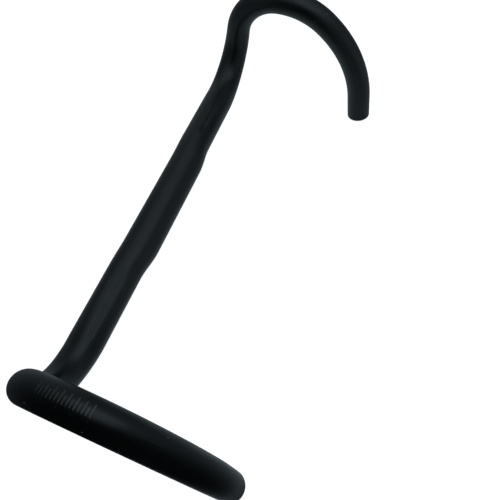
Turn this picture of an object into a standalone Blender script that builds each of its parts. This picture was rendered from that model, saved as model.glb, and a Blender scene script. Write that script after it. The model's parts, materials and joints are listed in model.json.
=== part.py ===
"""Drop handlebar for a road bicycle: one butted aluminium tube, modelled zone by zone.

The bar lies on its back, as on a bench: +X is the rider's right, +Z the riding direction, and +Y points
from the top towards the drops. The origin is the centre of the stem clamp section. Units are metres.
Each zone of the tube is a hollow closed solid, with a hairline gap to the next one.
"""

import math

import bmesh
import bpy
from mathutils import Matrix, Vector

MM = 0.001

# Tube
CLAMP_DIAMETER = 31.8 * MM
GRIP_DIAMETER = 23.8 * MM
TOP_HEIGHT = 29.6 * MM
TOP_DEPTH = 31.1 * MM
TOP_ADVANCE = 1.75 * MM
NOSE_DIRECTION = math.radians(-15)
CLAMP_WALL = 2.2 * MM
TOP_WALL = 1.8 * MM
GRIP_WALL = 1.5 * MM

# Cable groove along the nose of each top, running out a little way round the corner
GROOVE_DEPTH = 1.0 * MM
GROOVE_HALF_ANGLE = math.radians(20)
GROOVE_RUN_IN = 14 * MM
GROOVE_RUN_OUT = 30 * MM
GROOVE_OVERRUN = 22 * MM

# Centreline of the right half, from the middle outwards
CLAMP_HALF_LENGTH = 48 * MM
TAPER_LENGTH = 30 * MM
TOP_LIFT = 1.7 * MM
STRAIGHT_HALF_LENGTH = 55 * MM
SWEEP_RADIUS = 80 * MM
BACK_SWEEP = math.radians(3.5)
TOP_RISE = math.radians(1.3)
SWEPT_LENGTH = 84 * MM
CORNER_RADIUS = 50.7 * MM
RAMP_FLARE = math.radians(2.9)
RAMP_PITCH = math.radians(1.9)
RAMP_LENGTH = 7 * MM
OVAL_RUN_OUT = 40 * MM
HOOK_FLARE = math.radians(2.8)
UPPER_HOOK = (42.4 * MM, math.radians(80.1))
MIDDLE_HOOK = (75.3 * MM, math.radians(39.1))
LOWER_HOOK = (120.4 * MM, math.radians(43.7))
DROP_LENGTH = 25.3 * MM

# Mesh
GAP = 0.3 * MM
SIDES = 20
RING_SPACING = math.radians(9)

SATIN_BLACK = (0.012, 0.013, 0.014, 1.0)
LEFT, RIGHT = -1, 1


class Centreline:
    """A run of straights and bends. Its frame's columns are tangent, front and in-use up."""

    def __init__(self):
        self.runs = []
        self.length = 0.0
        self.point = Vector((0, 0, 0))
        self.frame = Matrix(((1, 0, 0), (0, 0, -1), (0, 1, 0)))

    def _add(self, length, axis, angle, radius):
        self.runs.append((self.length, length, self.point.copy(), self.frame.copy(), axis, angle, radius))
        self.length += length
        self.point, self.frame = self._within(self.runs[-1], length)
        return self.length

    def straight(self, length):
        return self._add(length, Vector((1, 0, 0)), 0.0, 0.0)

    def bend(self, axis, angle, radius):
        return self._add(angle * radius, axis, angle, radius)

    def bend_to(self, direction, radius):
        tangent = self.frame.col[0]
        return self.bend(tangent.cross(direction).normalized(), tangent.angle(direction), radius)

    @staticmethod
    def _within(run, along):
        _, length, point, frame, axis, angle, radius = run
        tangent = frame.col[0]
        if angle == 0:
            return point + tangent * along, frame.copy()
        turn = Matrix.Rotation(angle * along / length, 3, axis)
        towards_centre = axis.cross(tangent) * radius
        return point + towards_centre - turn @ towards_centre, turn @ frame

    def at(self, distance):
        """Point and frame at a distance along the line, with the top's lift over the clamp section."""
        run = next((r for r in self.runs if distance <= r[0] + r[1]), self.runs[-1])
        point, frame = self._within(run, distance - run[0])
        lift = TOP_LIFT * smooth_step((distance - CLAMP_HALF_LENGTH) / TAPER_LENGTH)
        return point - Vector((0, lift, 0)), frame


def smooth_step(t):
    t = min(max(t, 0.0), 1.0)
    return t * t * (3 - 2 * t)


def direction(back_angle, down_angle):
    """The heading of a line along X, turned back and then down, as in use."""
    return Vector((math.cos(back_angle) * math.cos(down_angle), math.sin(down_angle), -math.sin(back_angle)))


def right_half():
    """The right half's centreline and the distance at which each zone ends."""
    line = Centreline()
    line.straight(STRAIGHT_HALF_LENGTH)
    line.bend_to(direction(BACK_SWEEP, -TOP_RISE), SWEEP_RADIUS)
    ends = {"clamp": CLAMP_HALF_LENGTH, "taper": CLAMP_HALF_LENGTH + TAPER_LENGTH}
    ends["top"] = line.straight(SWEPT_LENGTH)
    line.bend_to(Vector((math.sin(RAMP_FLARE), math.sin(RAMP_PITCH), math.cos(RAMP_PITCH))), CORNER_RADIUS)
    ends["corner"] = line.straight(RAMP_LENGTH)
    down_and_out = Vector((math.sin(HOOK_FLARE), math.cos(HOOK_FLARE), 0))
    hook_axis = line.frame.col[0].cross(down_and_out).normalized()
    for zone, (radius, angle) in zip(
        ("upper_hook", "middle_hook", "lower_hook"), (UPPER_HOOK, MIDDLE_HOOK, LOWER_HOOK)
    ):
        ends[zone] = line.bend(hook_axis, angle, radius)
    ends["drop"] = line.straight(DROP_LENGTH)
    return line, ends


def finish(name):
    """The zone's own satin black material."""
    material = bpy.data.materials.new(name)
    material.use_nodes = True
    shader = material.node_tree.nodes["Principled BSDF"]
    shader.inputs["Base Color"].default_value = SATIN_BLACK
    shader.inputs["Roughness"].default_value = 0.42
    shader.inputs["Metallic"].default_value = 0.0
    material.diffuse_color = SATIN_BLACK
    return material


def place(name, data, location, wall, bar, collection):
    """An object of the bar whose open surface gets its wall on the inside."""
    piece = bpy.data.objects.new(name, data)
    piece.location = location
    piece.parent = bar
    data.materials.append(finish(name))
    collection.objects.link(piece)
    shell = piece.modifiers.new("wall", "SOLIDIFY")
    shell.thickness = wall
    shell.offset = -1
    shell.use_even_offset = True
    return piece


def mirrored(point, side):
    return Vector((point.x * side, point.y, point.z))


def round_tube(name, knots, diameter, wall, bar, collection):
    """A round tube along one straight or arc, between two knots of point and heading."""
    (start, start_heading), (end, end_heading) = knots
    turn = start_heading.angle(end_heading)
    chord = (end - start).length
    reach = chord / 3 if turn < 1e-4 else chord / (2 * math.sin(turn / 2)) * 4 / 3 * math.tan(turn / 4)

    curve = bpy.data.curves.new(name, "CURVE")
    curve.dimensions = "3D"
    curve.bevel_depth = diameter / 2
    curve.bevel_resolution = SIDES // 2 - 2
    curve.use_fill_caps = False
    curve.resolution_u = max(1, round(turn / RING_SPACING))
    spline = curve.splines.new("BEZIER")
    spline.bezier_points.add(1)
    for knot, point, heading in zip(spline.bezier_points, (start, end), (start_heading, end_heading)):
        knot.handle_left_type = knot.handle_right_type = "FREE"
        knot.co = point - start
        knot.handle_left = knot.co - heading * reach
        knot.handle_right = knot.co + heading * reach
    return place(name, curve, start, wall, bar, collection)


def outline(distance, ends, frame):
    """The tube's section as offsets from its centre: round, then oval with the cable groove, then round.

    The oval's nose points a little below the front, and the whole oval sits forward of the clamp section.
    """
    clamp, top, grip = CLAMP_DIAMETER / 2, TOP_HEIGHT / 2, GRIP_DIAMETER / 2
    into_top = smooth_step((distance - ends["clamp"]) / TAPER_LENGTH)
    into_grip = min(max((distance - ends["top"]) / (ends["corner"] - ends["top"]), 0.0), 1.0)
    ovalness = into_top * smooth_step((ends["top"] + OVAL_RUN_OUT - distance) / OVAL_RUN_OUT)
    half_height = clamp + (top - clamp) * into_top + (grip - top) * into_grip
    half_depth = half_height + (TOP_DEPTH - TOP_HEIGHT) / 2 * ovalness
    fade_in = smooth_step((distance - ends["taper"]) / GROOVE_RUN_IN)
    fade_out = smooth_step((ends["top"] + GROOVE_OVERRUN - distance) / GROOVE_RUN_OUT)
    groove = GROOVE_DEPTH * fade_in * fade_out
    _, front, up = frame.col
    nose = front * math.cos(NOSE_DIRECTION) + up * math.sin(NOSE_DIRECTION)
    crown = up * math.cos(NOSE_DIRECTION) - front * math.sin(NOSE_DIRECTION)
    offsets = []
    for i in range(SIDES):
        from_nose = math.remainder(math.tau * i / SIDES, math.tau)
        across, along = half_height * math.cos(from_nose), half_depth * math.sin(from_nose)
        oval = half_depth * half_height / math.hypot(across, along)
        radius = oval - groove * math.exp(-((from_nose / GROOVE_HALF_ANGLE) ** 2))
        outwards = nose * math.cos(from_nose) + crown * math.sin(from_nose)
        offsets.append(outwards * radius + nose * TOP_ADVANCE * ovalness)
    return offsets


def lofted_tube(name, line, ends, distances, side, wall, bar, collection):
    """A tube through sections of unlike shape, at the given distances along the centreline."""
    start = mirrored(line.at(distances[0])[0], side)
    shell = bmesh.new()
    rings = []
    for distance in distances:
        centre, frame = line.at(distance)
        ring = [mirrored(centre + offset, side) - start for offset in outline(distance, ends, frame)]
        rings.append([shell.verts.new(point) for point in ring])
    for near, far in zip(rings, rings[1:]):
        for i in range(SIDES):
            j = (i + 1) % SIDES
            corners = [near[i], near[j], far[j], far[i]]
            shell.faces.new(corners if side == RIGHT else corners[::-1])
    mesh = bpy.data.meshes.new(name)
    shell.to_mesh(mesh)
    shell.free()
    mesh.shade_smooth()
    return place(name, mesh, start, wall, bar, collection)


def evenly(first, last, count):
    return [first + (last - first) * i / count for i in range(count + 1)]


def build():
    for leftover in list(bpy.data.objects):
        bpy.data.objects.remove(leftover, do_unlink=True)
    collection = bpy.data.collections.new("drop_handlebar")
    bpy.context.scene.collection.children.link(collection)
    bar = bpy.data.objects.new("handlebar_origin", None)
    collection.objects.link(bar)

    line, ends = right_half()
    half_gap = GAP / 2
    along_x = Vector((1, 0, 0))
    clamp_end = along_x * (ends["clamp"] - half_gap)
    clamp_knots = [(-clamp_end, along_x), (clamp_end, along_x)]
    round_tube("clamp_section", clamp_knots, CLAMP_DIAMETER, CLAMP_WALL, bar, collection)
    for side, side_name in ((LEFT, "left"), (RIGHT, "right")):
        for zone, before, rings, wall in (
            ("taper", "clamp", 5, CLAMP_WALL),
            ("top", "taper", 5, TOP_WALL),
            ("corner", "top", 11, TOP_WALL),
        ):
            distances = evenly(ends[before] + half_gap, ends[zone] - half_gap, rings)
            lofted_tube(f"{side_name}_{zone}", line, ends, distances, side, wall, bar, collection)
        for zone, before in (
            ("upper_hook", "corner"),
            ("middle_hook", "upper_hook"),
            ("lower_hook", "middle_hook"),
            ("drop", "lower_hook"),
        ):
            is_bar_end = zone == "drop"
            limits = (ends[before] + half_gap, ends[zone] - (0 if is_bar_end else half_gap))
            knots = []
            for distance in limits:
                centre, frame = line.at(distance)
                knots.append((mirrored(centre, side), mirrored(frame.col[0], side)))
            round_tube(f"{side_name}_{zone}", knots, GRIP_DIAMETER, GRIP_WALL, bar, collection)


build()
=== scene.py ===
"""Looks for the drop handlebar: one satin black tube with its printed setting-up marks, on a pale floor.

The bar lies on its back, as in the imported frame: +X is the rider's right, +Z the riding direction, and +Y
points from the top towards the drops. Units are metres. The tube is one piece of metal, so one continuous
skin, with its rims and its bore, stands for all the zones of the frame.
"""

import json
import math

import bmesh
import bpy
from mathutils import Matrix, Vector

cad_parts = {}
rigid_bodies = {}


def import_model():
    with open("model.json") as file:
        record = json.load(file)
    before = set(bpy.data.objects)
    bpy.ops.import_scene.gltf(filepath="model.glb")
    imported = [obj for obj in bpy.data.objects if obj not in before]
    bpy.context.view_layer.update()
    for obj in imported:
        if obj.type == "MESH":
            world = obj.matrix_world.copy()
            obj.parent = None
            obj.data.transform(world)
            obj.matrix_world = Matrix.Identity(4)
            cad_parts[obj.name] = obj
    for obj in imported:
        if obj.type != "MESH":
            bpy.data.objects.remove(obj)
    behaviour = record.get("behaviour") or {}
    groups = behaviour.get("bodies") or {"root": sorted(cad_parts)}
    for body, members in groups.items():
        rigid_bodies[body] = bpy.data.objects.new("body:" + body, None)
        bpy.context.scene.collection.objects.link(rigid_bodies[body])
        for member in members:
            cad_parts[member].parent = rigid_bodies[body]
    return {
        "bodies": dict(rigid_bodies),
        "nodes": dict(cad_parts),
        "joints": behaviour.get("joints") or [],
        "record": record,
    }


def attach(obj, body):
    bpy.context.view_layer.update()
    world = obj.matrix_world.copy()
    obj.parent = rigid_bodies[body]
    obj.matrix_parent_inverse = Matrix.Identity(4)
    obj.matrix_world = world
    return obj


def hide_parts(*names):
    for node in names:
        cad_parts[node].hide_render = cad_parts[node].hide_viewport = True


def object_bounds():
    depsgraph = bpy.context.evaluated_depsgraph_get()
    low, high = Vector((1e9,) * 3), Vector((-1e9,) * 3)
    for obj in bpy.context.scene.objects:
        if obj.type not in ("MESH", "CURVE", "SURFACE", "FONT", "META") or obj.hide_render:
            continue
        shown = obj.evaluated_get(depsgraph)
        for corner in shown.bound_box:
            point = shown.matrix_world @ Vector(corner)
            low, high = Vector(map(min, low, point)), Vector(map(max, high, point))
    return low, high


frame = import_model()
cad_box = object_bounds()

MM = 0.001
BODY = "root"
LEFT, RIGHT = -1, 1

# Tube
CLAMP_DIAMETER = 31.8 * MM
GRIP_DIAMETER = 23.8 * MM
TOP_HEIGHT = 29.6 * MM
TOP_DEPTH = 31.1 * MM
TOP_ADVANCE = 1.75 * MM
NOSE_DIRECTION = math.radians(-15)
CLAMP_WALL = 2.2 * MM
TOP_WALL = 1.8 * MM
GRIP_WALL = 1.5 * MM

# Cable groove along the nose of each top, running out round the corner: a broad flat with a narrow channel
GROOVE_DEPTH = 1.0 * MM
GROOVE_HALF_ANGLE = math.radians(20)
GROOVE_RUN_IN = 14 * MM
GROOVE_RUN_OUT = 30 * MM
GROOVE_OVERRUN = 22 * MM
CHANNEL_DEPTH = 0.25 * MM
CHANNEL_HALF_ANGLE = math.radians(9)
CHANNEL_OFFSET = math.radians(-2)
CHANNEL_ENDS = (80 * MM, 146 * MM)
CHANNEL_RUN_OUT = 3 * MM

# Centreline of the right half, from the middle outwards
CLAMP_HALF_LENGTH = 48 * MM
TAPER_LENGTH = 30 * MM
TOP_LIFT = 1.7 * MM
STRAIGHT_HALF_LENGTH = 55 * MM
SWEEP_RADIUS = 80 * MM
BACK_SWEEP = math.radians(3.5)
TOP_RISE = math.radians(1.3)
SWEPT_LENGTH = 84 * MM
CORNER_RADIUS = 50.7 * MM
RAMP_FLARE = math.radians(2.9)
RAMP_PITCH = math.radians(1.9)
RAMP_LENGTH = 7 * MM
OVAL_RUN_OUT = 40 * MM
HOOK_FLARE = math.radians(2.8)
UPPER_HOOK = (42.4 * MM, math.radians(80.1))
MIDDLE_HOOK = (75.3 * MM, math.radians(39.1))
LOWER_HOOK = (120.4 * MM, math.radians(43.7))
DROP_LENGTH = 25.3 * MM

# Skin
SIDE_ANGLE = math.radians(3.75)
NOSE_SIDE_ANGLE = math.radians(1)
NOSE_HALF_WIDTH = math.radians(15)
SKIN_SPACING = 1.5 * MM
# The smooth skin and its print would otherwise pass the flat-sided solids' box by up to 0.07 mm
SKIN_INSET = 0.09 * MM
BORE_SPACING = 6 * MM
RIM_OUTER_EDGE = 0.45 * MM
RIM_INNER_EDGE = 0.25 * MM
RIM_STEPS = 5

# Lever scale on the front of each hook
SCALE_START = 280.7 * MM
SCALE_PITCH = 2.2 * MM
SCALE_MARKS = 15
MARK_FOOT = math.radians(94)
LONG_MARK = math.radians(40)
SHORT_MARK = math.radians(27)
MARK_WIDTH = 0.65 * MM
MARK_HEIGHT = 0.02 * MM
MARK_ROOT = 0.05 * MM
DOT_SIZE = 0.6 * MM
DOT_ROW = math.radians(106)
DOT_EVERY = 4
MARK_STEPS_ALONG = 2
MARK_STEPS_ROUND = 10
DOT_STEPS = 3

# Finish
DARK_BLACK = (0.0010, 0.0011, 0.0012, 1)
LIGHT_BLACK = (0.0022, 0.0024, 0.0026, 1)
ROUGHNESS = (0.33, 0.39)
HAIRLINE_GREY = (0.03, 0.03, 0.03, 1)
HAIRLINE_STRETCH = (30, 1, 1)
HAIRLINE_SPACING = 1.1 * MM
HAIRLINE_LEVELS = (0.76, 0.78)
HAIRLINE_STRENGTH = 0.3
BLOTCH_SIZE = 60 * MM
BLOTCH_LEVELS = (0.35, 0.65)
BLOTCH_ROUGHNESS = 0.02
SMUDGE_SIZE = 14 * MM
GRAIN_SIZE = 0.3 * MM
GRAIN_DEPTH = 0.004 * MM
WAVE_SIZE = 8 * MM
WAVE_DEPTH = 0.03 * MM
SPECK_HEIGHT = 0.006 * MM
NOISE_LEVELS = (0.3, 0.7)
DUST_GREY = (0.32, 0.32, 0.31, 1)
DUST_CELL = 6 * MM
DUST_SIZE = 0.8 * MM
DUST_SHARE = 0.3
DUST_ROUGHNESS = 0.4
BORE_GREY = (0.05, 0.05, 0.05, 1)
BORE_ROUGHNESS = 0.25
BARE_ALUMINIUM = (0.55, 0.55, 0.56, 1)
RIM_WEAR_REACH = 1.2 * MM
RIM_WEAR_SIZE = 1.4 * MM
RIM_WEAR_LEVELS = (0.42, 0.5)
PRINT_ROUGHNESS = (0.32, 0.40)
PRINT_PATCH_SIZE = 2.5 * MM
PRINT_PATCH_WEAR = 0.25
PRINT_GRAIN_SIZE = 0.15 * MM
PRINT_GRAIN_DEPTH = 0.003 * MM
WORN_PRINT = (0.022, 0.022, 0.021, 1)
FRESH_PRINT = (0.10, 0.10, 0.097, 1)

# Camera
CAMERA_LOCATION = Vector((230.6, 136.1, 396.4)) * MM
CAMERA_TARGET = Vector((16.6, 91.1, 0.0)) * MM
CAMERA_ROLL = math.radians(9.07)
CAMERA_LENS = 36.14
SENSOR_WIDTH = 36.0
CAMERA_CLIP_START = 0.01

# Studio
COVE_RADIUS = 4.0
COVE_SWEEP = 1.2
COVE_HEIGHT = 4.0
COVE_STEPS = 64
COVE_FLOOR_RINGS = (0.1, 0.4)
COVE_SWEEP_STEPS = 8
FLOOR_ALBEDO = 0.5
FLOOR_GLOW = 0.93
FLAG_CENTRE = Vector((0.16, 0.08, 0))
FLAG_RADIUS = 0.13
FLAG_ARC = (math.radians(-110), math.radians(118))
FLAG_FOOT = -0.2
FLAG_HEADS = (0.65, 0.4)
FLAG_STEPS = 20
FLAG_SOFT_SHARE = 0.3
FLAG_EDGE_GLOW = 0.2
FLAG_CORE_SHARE = 0.05
FLAG_FOOT_SOFTNESS = 0.8
# Radiance of the room at each elevation, in degrees
ROOM_LIGHT = ((-90, 0.36), (-30, 0.27), (0, 0.14), (36, 0.20), (50, 0.44), (65, 0.54), (90, 0.56))
ROOM_TINT = (0.81, 1.0, 1.10)
SIDE_FILL = {"location": (-0.2, 1.3, 0.25), "target": (0, 0, 0), "size": (1.2, 0.9), "radiance": 0.14}
BACK_FILL = {"location": (-1.0, -0.8, 0.2), "target": (0, 0, 0), "size": (0.9, 0.6), "radiance": 0.12}
OVERHEAD = {"location": (-0.02, 0.2, 0.6), "target": (0, 0.05, 0), "size": (0.4, 0.35), "radiance": 0.25}


class Centreline:
    """A run of straights and bends. Its frame's columns are tangent, front and in-use up."""

    def __init__(self):
        self.runs = []
        self.length = 0.0
        self.point = Vector((0, 0, 0))
        self.frame = Matrix(((1, 0, 0), (0, 0, -1), (0, 1, 0)))

    def _add(self, length, axis, angle, radius):
        start = (self.length, length, self.point.copy(), self.frame.copy())
        self.runs.append((*start, axis, angle, radius))
        self.length += length
        self.point, self.frame = self._within(self.runs[-1], length)
        return self.length

    def straight(self, length):
        return self._add(length, Vector((1, 0, 0)), 0.0, 0.0)

    def bend(self, axis, angle, radius):
        return self._add(angle * radius, axis, angle, radius)

    def bend_to(self, direction, radius):
        tangent = self.frame.col[0]
        return self.bend(tangent.cross(direction).normalized(), tangent.angle(direction), radius)

    @staticmethod
    def _within(run, along):
        _, length, point, frame, axis, angle, radius = run
        tangent = frame.col[0]
        if angle == 0:
            return point + tangent * along, frame.copy()
        turn = Matrix.Rotation(angle * along / length, 3, axis)
        towards_centre = axis.cross(tangent) * radius
        return point + towards_centre - turn @ towards_centre, turn @ frame

    def at(self, distance):
        """Point and frame at a distance along the line, with the top's lift over the clamp section."""
        run = next((r for r in self.runs if distance <= r[0] + r[1]), self.runs[-1])
        point, frame = self._within(run, distance - run[0])
        lift = TOP_LIFT * smooth_step((distance - CLAMP_HALF_LENGTH) / TAPER_LENGTH)
        return point - Vector((0, lift, 0)), frame


def smooth_step(t):
    t = min(max(t, 0.0), 1.0)
    return t * t * (3 - 2 * t)


def direction(back_angle, down_angle):
    """The heading of a line along X, turned back and then down, as in use."""
    across = math.cos(back_angle) * math.cos(down_angle)
    return Vector((across, math.sin(down_angle), -math.sin(back_angle)))


def right_half():
    """The right half's centreline and the distance at which each zone ends."""
    line = Centreline()
    line.straight(STRAIGHT_HALF_LENGTH)
    line.bend_to(direction(BACK_SWEEP, -TOP_RISE), SWEEP_RADIUS)
    ends = {"clamp": CLAMP_HALF_LENGTH, "taper": CLAMP_HALF_LENGTH + TAPER_LENGTH}
    ends["top"] = line.straight(SWEPT_LENGTH)
    along_ramp = Vector((math.sin(RAMP_FLARE), math.sin(RAMP_PITCH), math.cos(RAMP_PITCH)))
    line.bend_to(along_ramp, CORNER_RADIUS)
    ends["corner"] = line.straight(RAMP_LENGTH)
    down_and_out = Vector((math.sin(HOOK_FLARE), math.cos(HOOK_FLARE), 0))
    hook_axis = line.frame.col[0].cross(down_and_out).normalized()
    for radius, angle in (UPPER_HOOK, MIDDLE_HOOK, LOWER_HOOK):
        line.bend(hook_axis, angle, radius)
    line.straight(DROP_LENGTH)
    return line, ends


LINE, ENDS = right_half()


def channel(distance, from_nose):
    """How deep the narrow channel is sunk, with rounded sides and crisp ends."""
    first, last = CHANNEL_ENDS
    fade_in = smooth_step((distance - first) / CHANNEL_RUN_OUT)
    fade_out = smooth_step((last - distance) / CHANNEL_RUN_OUT)
    across = min(abs(from_nose - CHANNEL_OFFSET) / CHANNEL_HALF_ANGLE, 1.0)
    return CHANNEL_DEPTH * fade_in * fade_out * (1 + math.cos(math.pi * across)) / 2


def skin_offset(distance, angle, frame):
    """The skin's offset from the centreline, and the way out, at an angle from the front to the in-use top.

    The section is round, then oval with its nose a little below the front and set forward, then round.
    """
    clamp, top, grip = CLAMP_DIAMETER / 2, TOP_HEIGHT / 2, GRIP_DIAMETER / 2
    into_top = smooth_step((distance - ENDS["clamp"]) / TAPER_LENGTH)
    into_grip = min(max((distance - ENDS["top"]) / (ENDS["corner"] - ENDS["top"]), 0.0), 1.0)
    ovalness = into_top * smooth_step((ENDS["top"] + OVAL_RUN_OUT - distance) / OVAL_RUN_OUT)
    half_height = clamp + (top - clamp) * into_top + (grip - top) * into_grip
    half_depth = half_height + (TOP_DEPTH - TOP_HEIGHT) / 2 * ovalness
    fade_in = smooth_step((distance - ENDS["taper"]) / GROOVE_RUN_IN)
    fade_out = smooth_step((ENDS["top"] + GROOVE_OVERRUN - distance) / GROOVE_RUN_OUT)
    _, front, up = frame.col
    nose = front * math.cos(NOSE_DIRECTION) + up * math.sin(NOSE_DIRECTION)
    from_nose = math.remainder(angle - NOSE_DIRECTION, math.tau)
    across, along = half_height * math.cos(from_nose), half_depth * math.sin(from_nose)
    radius = half_depth * half_height / math.hypot(across, along) - SKIN_INSET
    radius -= GROOVE_DEPTH * fade_in * fade_out * math.exp(-((from_nose / GROOVE_HALF_ANGLE) ** 2))
    radius -= channel(distance, from_nose)
    outwards = front * math.cos(angle) + up * math.sin(angle)
    return outwards * radius + nose * TOP_ADVANCE * ovalness, outwards


def wall(distance):
    """The butted tube's wall: thickest under the clamp, thinnest in the grips."""
    into_top = smooth_step((distance - ENDS["clamp"]) / TAPER_LENGTH)
    into_grip = smooth_step((distance - ENDS["top"]) / (ENDS["corner"] - ENDS["top"]))
    return CLAMP_WALL + (TOP_WALL - CLAMP_WALL) * into_top + (GRIP_WALL - TOP_WALL) * into_grip


def ring(side, distance, angles, proud=0.0):
    """Points round the skin of one half, or proud of it."""
    centre, frame = LINE.at(distance)
    points = []
    for angle in angles:
        offset, outwards = skin_offset(distance, angle, frame)
        point = centre + offset + outwards * proud
        points.append(Vector((point.x * side, point.y, point.z)))
    return points


def evenly(first, last, count):
    return [first + (last - first) * i / count for i in range(count + 1)]


def skin_angles():
    """Angles once round the tube, closest together over the narrow channel."""
    first, last = NOSE_DIRECTION - NOSE_HALF_WIDTH, NOSE_DIRECTION + NOSE_HALF_WIDTH
    over_nose = evenly(first, last, round((last - first) / NOSE_SIDE_ANGLE))
    round_back = evenly(last, first + math.tau, round((math.tau + first - last) / SIDE_ANGLE))
    return over_nose + round_back[1:-1]


def rim_profile():
    """(setback from the cut, depth below the skin) pairs round one rim, from the skin into the bore."""
    profile = []
    for angle in evenly(0, math.pi / 2, RIM_STEPS):
        setback = RIM_OUTER_EDGE * (1 - math.sin(angle))
        profile.append((setback, RIM_OUTER_EDGE * (1 - math.cos(angle))))
    for angle in evenly(0, math.pi / 2, RIM_STEPS):
        setback = RIM_INNER_EDGE * (1 - math.cos(angle))
        profile.append((setback, GRIP_WALL - RIM_INNER_EDGE * (1 - math.sin(angle))))
    return profile


def stations():
    """(side, distance, depth below the skin) of every ring, bar end to bar end and back by the bore."""
    last_skin = LINE.length - RIM_OUTER_EDGE
    last_bore = LINE.length - RIM_INNER_EDGE
    skin = evenly(0, last_skin, round(last_skin / SKIN_SPACING))[1:-1]
    bore = evenly(0, last_bore, round(last_bore / BORE_SPACING))[1:-1]
    rim = [(LINE.length - setback, depth) for setback, depth in rim_profile()]
    rings = [(LEFT, d, 0.0) for d in reversed(skin)]
    rings += [(RIGHT, 0.0, 0.0)] + [(RIGHT, d, 0.0) for d in skin]
    rings += [(RIGHT, d, depth) for d, depth in rim]
    rings += [(RIGHT, d, wall(d)) for d in reversed(bore)] + [(RIGHT, 0.0, wall(0.0))]
    rings += [(LEFT, d, wall(d)) for d in bore]
    rings += [(LEFT, d, depth) for d, depth in reversed(rim)]
    return rings


def make_tube():
    skin = bmesh.new()
    bore_layer = skin.verts.layers.float.new("bore")
    end_layer = skin.verts.layers.float.new("to_bar_end")
    along_layer = skin.verts.layers.float_vector.new("along_tube")
    angles = skin_angles()
    rings = []
    for side, distance, depth in stations():
        vertices = [skin.verts.new(point) for point in ring(side, distance, angles, -depth)]
        for vertex, angle in zip(vertices, angles):
            vertex[bore_layer] = 1.0 if depth > GRIP_WALL / 2 else 0.0
            vertex[end_layer] = LINE.length - distance
            round_tube = Vector((0, math.cos(angle), math.sin(angle))) * GRIP_DIAMETER / 2
            vertex[along_layer] = round_tube + Vector((side * distance, 0, 0))
        rings.append(vertices)
    for near, far in zip(rings, rings[1:] + rings[:1]):
        for i in range(len(angles)):
            j = (i + 1) % len(angles)
            skin.faces.new((near[i], near[j], far[j], far[i]))
    mesh = bpy.data.meshes.new("handlebar_tube")
    skin.to_mesh(mesh)
    skin.free()
    mesh.shade_smooth()
    return add_piece("handlebar_tube", mesh)


def link(data, name):
    thing = bpy.data.objects.new(name, data)
    bpy.context.scene.collection.objects.link(thing)
    return thing


def add_piece(name, mesh):
    piece = link(mesh, name)
    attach(piece, BODY)
    return piece


def lay_mark(marks, side, distances, angles, wear):
    """One thin printed mark: a closed patch over the skin, on a grid of distances and angles."""
    wear_layer = marks.verts.layers.float["wear"]
    faces = []
    for proud in (MARK_HEIGHT, -MARK_ROOT):
        faces.append([[marks.verts.new(p) for p in ring(side, d, angles, proud)] for d in distances])
    top, root = faces
    for row in top + root:
        for vertex in row:
            vertex[wear_layer] = wear
    rows, columns = len(distances), len(angles)
    for i in range(rows - 1):
        for j in range(columns - 1):
            marks.faces.new((top[i][j], top[i][j + 1], top[i + 1][j + 1], top[i + 1][j]))
            marks.faces.new((root[i][j], root[i + 1][j], root[i + 1][j + 1], root[i][j + 1]))
    loop = [(0, j) for j in range(columns)] + [(i, columns - 1) for i in range(1, rows)]
    loop += [(rows - 1, j) for j in range(columns - 2, -1, -1)]
    loop += [(i, 0) for i in range(rows - 2, 0, -1)]
    for (i, j), (k, m) in zip(loop, loop[1:] + loop[:1]):
        marks.faces.new((top[i][j], root[i][j], root[k][m], top[k][m]))


def make_marks(name, patches):
    marks = bmesh.new()
    marks.verts.layers.float.new("wear")
    for patch in patches:
        lay_mark(marks, *patch)
    bmesh.ops.recalc_face_normals(marks, faces=marks.faces)
    mesh = bpy.data.meshes.new(name)
    marks.to_mesh(mesh)
    marks.free()
    mesh.shade_smooth()
    return add_piece(name, mesh)


def make_lever_scale(side, side_name):
    """Long and short graduations on the front of the hook, with dots beside some, for placing the lever."""
    patches = []
    for i in range(SCALE_MARKS):
        middle = SCALE_START + SCALE_PITCH * i
        reach = LONG_MARK if i % 2 == 0 else SHORT_MARK
        distances = evenly(middle - MARK_WIDTH / 2, middle + MARK_WIDTH / 2, MARK_STEPS_ALONG)
        wear = 1 - i / (SCALE_MARKS - 1)
        angles = evenly(MARK_FOOT - reach, MARK_FOOT, MARK_STEPS_ROUND)
        patches.append((side, distances, angles, wear))
        if i % DOT_EVERY == DOT_EVERY / 2:
            half_turn = DOT_SIZE / GRIP_DIAMETER
            distances = evenly(middle - DOT_SIZE / 2, middle + DOT_SIZE / 2, DOT_STEPS)
            angles = evenly(DOT_ROW - half_turn, DOT_ROW + half_turn, DOT_STEPS)
            patches.append((side, distances, angles, 1.0))
    return make_marks(f"{side_name}_lever_scale", patches)


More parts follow.
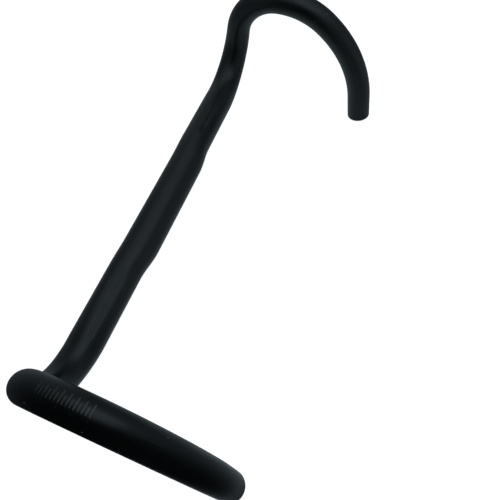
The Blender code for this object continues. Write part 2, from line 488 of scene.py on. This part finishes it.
class Finish:
    """A Principled material and the few node shorthands its procedural surface needs."""

    def __init__(self, name):
        self.material = bpy.data.materials.new(name)
        self.material.use_nodes = True
        self.tree = self.material.node_tree
        self.shader = self.tree.nodes["Principled BSDF"]

    def node(self, kind, inputs=None, **settings):
        made = self.tree.nodes.new(kind)
        for key, value in settings.items():
            setattr(made, key, value)
        for key, value in (inputs or {}).items():
            if isinstance(value, bpy.types.NodeSocket):
                self.tree.links.new(value, made.inputs[key])
            else:
                made.inputs[key].default_value = value
        return made

    def attribute(self, name, output):
        return self.node("ShaderNodeAttribute", attribute_name=name).outputs[output]

    def noise(self, where, feature_size, detail=2.0, stretch=(1, 1, 1)):
        """Cloudy noise, 0 to 1, whose features are about feature_size across, or longer where stretched."""
        squeeze = {0: where, 1: [1 / s for s in stretch]}
        scaled = self.node("ShaderNodeVectorMath", squeeze, operation="MULTIPLY")
        inputs = {"Vector": scaled.outputs[0], "Scale": 1 / feature_size, "Detail": detail}
        return self.node("ShaderNodeTexNoise", inputs).outputs["Fac"]

    def between(self, value, low, high, to_low=0.0, to_high=1.0):
        inputs = {"Value": value, "From Min": low, "From Max": high, "To Min": to_low, "To Max": to_high}
        mapped = self.node("ShaderNodeMapRange", inputs, interpolation_type="SMOOTHSTEP")
        return mapped.outputs["Result"]

    def maths(self, operation, first, second):
        return self.node("ShaderNodeMath", {0: first, 1: second}, operation=operation).outputs[0]

    def mix(self, factor, first, second):
        made = self.node("ShaderNodeMix", {0: factor}, data_type="RGBA")
        for socket, value in ((made.inputs[6], first), (made.inputs[7], second)):
            if isinstance(value, bpy.types.NodeSocket):
                self.tree.links.new(value, socket)
            else:
                socket.default_value = value
        return made.outputs[2]

    def bump(self, height, depth, below=None):
        inputs = {"Height": height, "Distance": depth, "Strength": 1.0}
        if below is not None:
            inputs["Normal"] = below
        return self.node("ShaderNodeBump", inputs).outputs["Normal"]

    def specks(self, where, cell_size, speck_size, share):
        """Round specks, 0 to 1, in the given share of the cells."""
        inputs = {"Vector": where, "Scale": 1 / cell_size}
        cells = self.node("ShaderNodeTexVoronoi", inputs)
        edge = speck_size / cell_size / 2
        near = self.between(cells.outputs["Distance"], edge, edge / 2)
        lottery = self.node("ShaderNodeSeparateColor", {"Color": cells.outputs["Color"]}).outputs["Red"]
        return self.maths("MULTIPLY", near, self.maths("GREATER_THAN", lottery, 1 - share))

    def drive(self, **sockets):
        for name, value in sockets.items():
            self.tree.links.new(value, self.shader.inputs[name.replace("_", " ")])


def satin_black():
    """Satin anodising: blotchy sheen, blasted grain, smudges, hairlines, dust and worn rims."""
    finish = Finish("satin_black")
    along = finish.attribute("along_tube", "Vector")
    blotches = finish.noise(along, BLOTCH_SIZE, detail=3.0)
    smudges = finish.noise(along, SMUDGE_SIZE, detail=5.0)
    grain = finish.noise(along, GRAIN_SIZE, detail=1.0)
    waviness = finish.noise(along, WAVE_SIZE, detail=0.0)
    streaks = finish.noise(along, HAIRLINE_SPACING, detail=0.0, stretch=HAIRLINE_STRETCH)
    hairlines = finish.between(streaks, *HAIRLINE_LEVELS)
    dust = finish.specks(along, DUST_CELL, DUST_SIZE, DUST_SHARE)

    to_bar_end = finish.attribute("to_bar_end", "Fac")
    at_rim = finish.between(to_bar_end, RIM_WEAR_REACH, 0.0)
    patches = finish.noise(along, RIM_WEAR_SIZE, detail=3.0)
    wear = finish.between(finish.maths("MULTIPLY", at_rim, patches), *RIM_WEAR_LEVELS)
    in_bore = finish.attribute("bore", "Fac")

    colour = finish.mix(finish.between(blotches, *BLOTCH_LEVELS), DARK_BLACK, LIGHT_BLACK)
    faint_lines = finish.maths("MULTIPLY", hairlines, HAIRLINE_STRENGTH)
    colour = finish.mix(faint_lines, colour, HAIRLINE_GREY)
    colour = finish.mix(dust, colour, DUST_GREY)
    colour = finish.mix(finish.maths("MULTIPLY", in_bore, smudges), colour, BORE_GREY)
    colour = finish.mix(wear, colour, BARE_ALUMINIUM)

    roughness = finish.between(smudges, *NOISE_LEVELS, *ROUGHNESS)
    uneven = finish.between(blotches, *NOISE_LEVELS, -BLOTCH_ROUGHNESS, BLOTCH_ROUGHNESS)
    for more in (
        uneven,
        finish.maths("MULTIPLY", dust, DUST_ROUGHNESS),
        finish.maths("MULTIPLY", in_bore, BORE_ROUGHNESS),
    ):
        roughness = finish.maths("ADD", roughness, more)

    normal = finish.bump(waviness, WAVE_DEPTH)
    normal = finish.bump(grain, GRAIN_DEPTH, normal)
    normal = finish.bump(finish.maths("SUBTRACT", dust, hairlines), SPECK_HEIGHT, normal)
    finish.drive(Base_Color=colour, Metallic=wear, Roughness=roughness, Normal=normal)
    return finish.material


def print_grey():
    """Thin grey print: worn unevenly and most near the corner, with the coating's grain showing through."""
    finish = Finish("print_grey")
    where = finish.node("ShaderNodeTexCoord").outputs["Object"]
    patches = finish.noise(where, PRINT_PATCH_SIZE, detail=4.0)
    patchy = finish.between(patches, *NOISE_LEVELS, -PRINT_PATCH_WEAR, PRINT_PATCH_WEAR)
    worn = finish.maths("ADD", finish.attribute("wear", "Fac"), patchy)
    grain = finish.noise(where, PRINT_GRAIN_SIZE, detail=1.0)
    colour = finish.mix(worn, FRESH_PRINT, WORN_PRINT)
    roughness = finish.between(grain, *NOISE_LEVELS, *PRINT_ROUGHNESS)
    normal = finish.bump(grain, PRINT_GRAIN_DEPTH)
    finish.drive(Base_Color=colour, Roughness=roughness, Normal=normal)
    return finish.material


def stage_matt(name, albedo, glow):
    """A matt grey for the stage that also glows by itself."""
    finish = Finish(name)
    inputs = finish.shader.inputs
    inputs["Base Color"].default_value = (albedo, albedo, albedo, 1)
    inputs["Roughness"].default_value = 1.0
    inputs["Specular IOR Level"].default_value = 0.0
    inputs["Emission Color"].default_value = (1, 1, 1, 1)
    inputs["Emission Strength"].default_value = glow
    return finish


def make_cove():
    """A round pale floor that sweeps up into a wall. It glows by itself and doesn't light the bar."""
    centre_of_sweep = COVE_RADIUS - COVE_SWEEP
    profile = [(COVE_RADIUS * share, 0.0) for share in COVE_FLOOR_RINGS]
    for angle in evenly(0, math.pi / 2, COVE_SWEEP_STEPS):
        radius = centre_of_sweep + COVE_SWEEP * math.sin(angle)
        profile.append((radius, COVE_SWEEP * (1 - math.cos(angle))))
    profile.append((COVE_RADIUS, COVE_HEIGHT))
    sheet = bmesh.new()
    middle = sheet.verts.new((0, 0, 0))
    rings = []
    turns = [math.tau * i / COVE_STEPS for i in range(COVE_STEPS)]
    for radius, height in profile:
        points = [(radius * math.cos(t), radius * math.sin(t), height) for t in turns]
        rings.append([sheet.verts.new(point) for point in points])
    for i in range(COVE_STEPS):
        j = (i + 1) % COVE_STEPS
        sheet.faces.new((middle, rings[0][i], rings[0][j]))
        for inner, outer in zip(rings, rings[1:]):
            sheet.faces.new((inner[i], outer[i], outer[j], inner[j]))
    mesh = bpy.data.meshes.new("floor")
    sheet.to_mesh(mesh)
    sheet.free()
    mesh.shade_smooth()
    floor = link(mesh, "floor")
    floor.location.z = cad_box[0][2]
    floor.visible_glossy = False
    floor.visible_diffuse = False
    floor.visible_shadow = False
    mesh.materials.append(stage_matt("pale_floor", FLOOR_ALBEDO, FLOOR_GLOW).material)


def make_flag():
    """A black card curved round the right hook, greyer at its ends, which shows only in reflections."""
    card = bmesh.new()
    end_layer = card.verts.layers.float.new("end")
    columns = []
    for share in evenly(0, 1, FLAG_STEPS):
        azimuth = FLAG_ARC[0] + (FLAG_ARC[1] - FLAG_ARC[0]) * share
        head = FLAG_HEADS[0] + (FLAG_HEADS[1] - FLAG_HEADS[0]) * share
        middle = FLAG_CENTRE + Vector((math.cos(azimuth), math.sin(azimuth), 0)) * FLAG_RADIUS
        softness = 1 - smooth_step(min(share, 1 - share) / FLAG_SOFT_SHARE)
        column = []
        for height, least in ((FLAG_FOOT, FLAG_FOOT_SOFTNESS), (0, 0), (head, 0)):
            vertex = card.verts.new(middle + Vector((0, 0, height)))
            vertex[end_layer] = max(softness, least)
            column.append(vertex)
        columns.append(column)
    for column, following in zip(columns, columns[1:]):
        for i in range(len(column) - 1):
            card.faces.new((column[i], column[i + 1], following[i + 1], following[i]))
    mesh = bpy.data.meshes.new("flag")
    card.to_mesh(mesh)
    card.free()
    flag = link(mesh, "flag")
    flag.visible_camera = False
    flag.visible_shadow = False
    flag.visible_diffuse = False
    finish = stage_matt("flag_black", 0.0, FLAG_EDGE_GLOW)
    core = [tint * FLAG_CORE_SHARE for tint in ROOM_TINT]
    glow = finish.mix(finish.attribute("end", "Fac"), (*core, 1), (*ROOM_TINT, 1))
    finish.drive(Emission_Color=glow)
    mesh.materials.append(finish.material)


def add_softbox(name, location, target, size, radiance):
    light = bpy.data.lights.new(name, "AREA")
    light.shape = "RECTANGLE"
    light.size, light.size_y = size
    light.energy = radiance * math.pi * light.size * light.size_y
    light.color = ROOM_TINT
    lamp = link(light, name)
    lamp.location = location
    lamp.rotation_euler = (Vector(location) - Vector(target)).to_track_quat("Z", "Y").to_euler()


def make_camera():
    camera = link(bpy.data.cameras.new("camera"), "camera")
    camera.data.lens = CAMERA_LENS
    camera.data.sensor_width = SENSOR_WIDTH
    camera.data.clip_start = CAMERA_CLIP_START
    aim = (CAMERA_LOCATION - CAMERA_TARGET).to_track_quat("Z", "Y").to_matrix()
    turned = aim @ Matrix.Rotation(CAMERA_ROLL, 3, "Z")
    camera.matrix_world = Matrix.LocRotScale(CAMERA_LOCATION, turned, None)
    bpy.context.scene.camera = camera


def light_scene():
    """A room that is brightest overhead, with a soft glow coming back from below."""
    world = bpy.data.worlds.new("studio")
    world.use_nodes = True
    nodes, links = world.node_tree.nodes, world.node_tree.links
    background = nodes["Background"]
    where = nodes.new("ShaderNodeTexCoord")
    split = nodes.new("ShaderNodeSeparateXYZ")
    links.new(where.outputs["Generated"], split.inputs["Vector"])
    ramp = nodes.new("ShaderNodeValToRGB")
    ramp.color_ramp.interpolation = "EASE"
    height = nodes.new("ShaderNodeMapRange")
    height.inputs["From Min"].default_value = -1
    links.new(split.outputs["Z"], height.inputs["Value"])
    links.new(height.outputs["Result"], ramp.inputs["Fac"])
    stops = ramp.color_ramp.elements
    while len(stops) < len(ROOM_LIGHT):
        stops.new(0.5)
    for stop, (elevation, level) in zip(stops, ROOM_LIGHT):
        stop.position = (1 + math.sin(math.radians(elevation))) / 2
        stop.color = (*(level * tint for tint in ROOM_TINT), 1)
    links.new(ramp.outputs["Color"], background.inputs["Color"])
    background.inputs["Strength"].default_value = 1.0
    bpy.context.scene.world = world
    bpy.context.scene.view_settings.view_transform = "Standard"
    add_softbox("side_fill", **SIDE_FILL)
    add_softbox("back_fill", **BACK_FILL)
    add_softbox("overhead", **OVERHEAD)


make_camera()
tube = make_tube()
tube.data.materials.append(satin_black())
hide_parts(*frame["nodes"])
grey = print_grey()
for side, side_name in ((LEFT, "left"), (RIGHT, "right")):
    make_lever_scale(side, side_name).data.materials.append(grey)
make_cove()
make_flag()
light_scene()
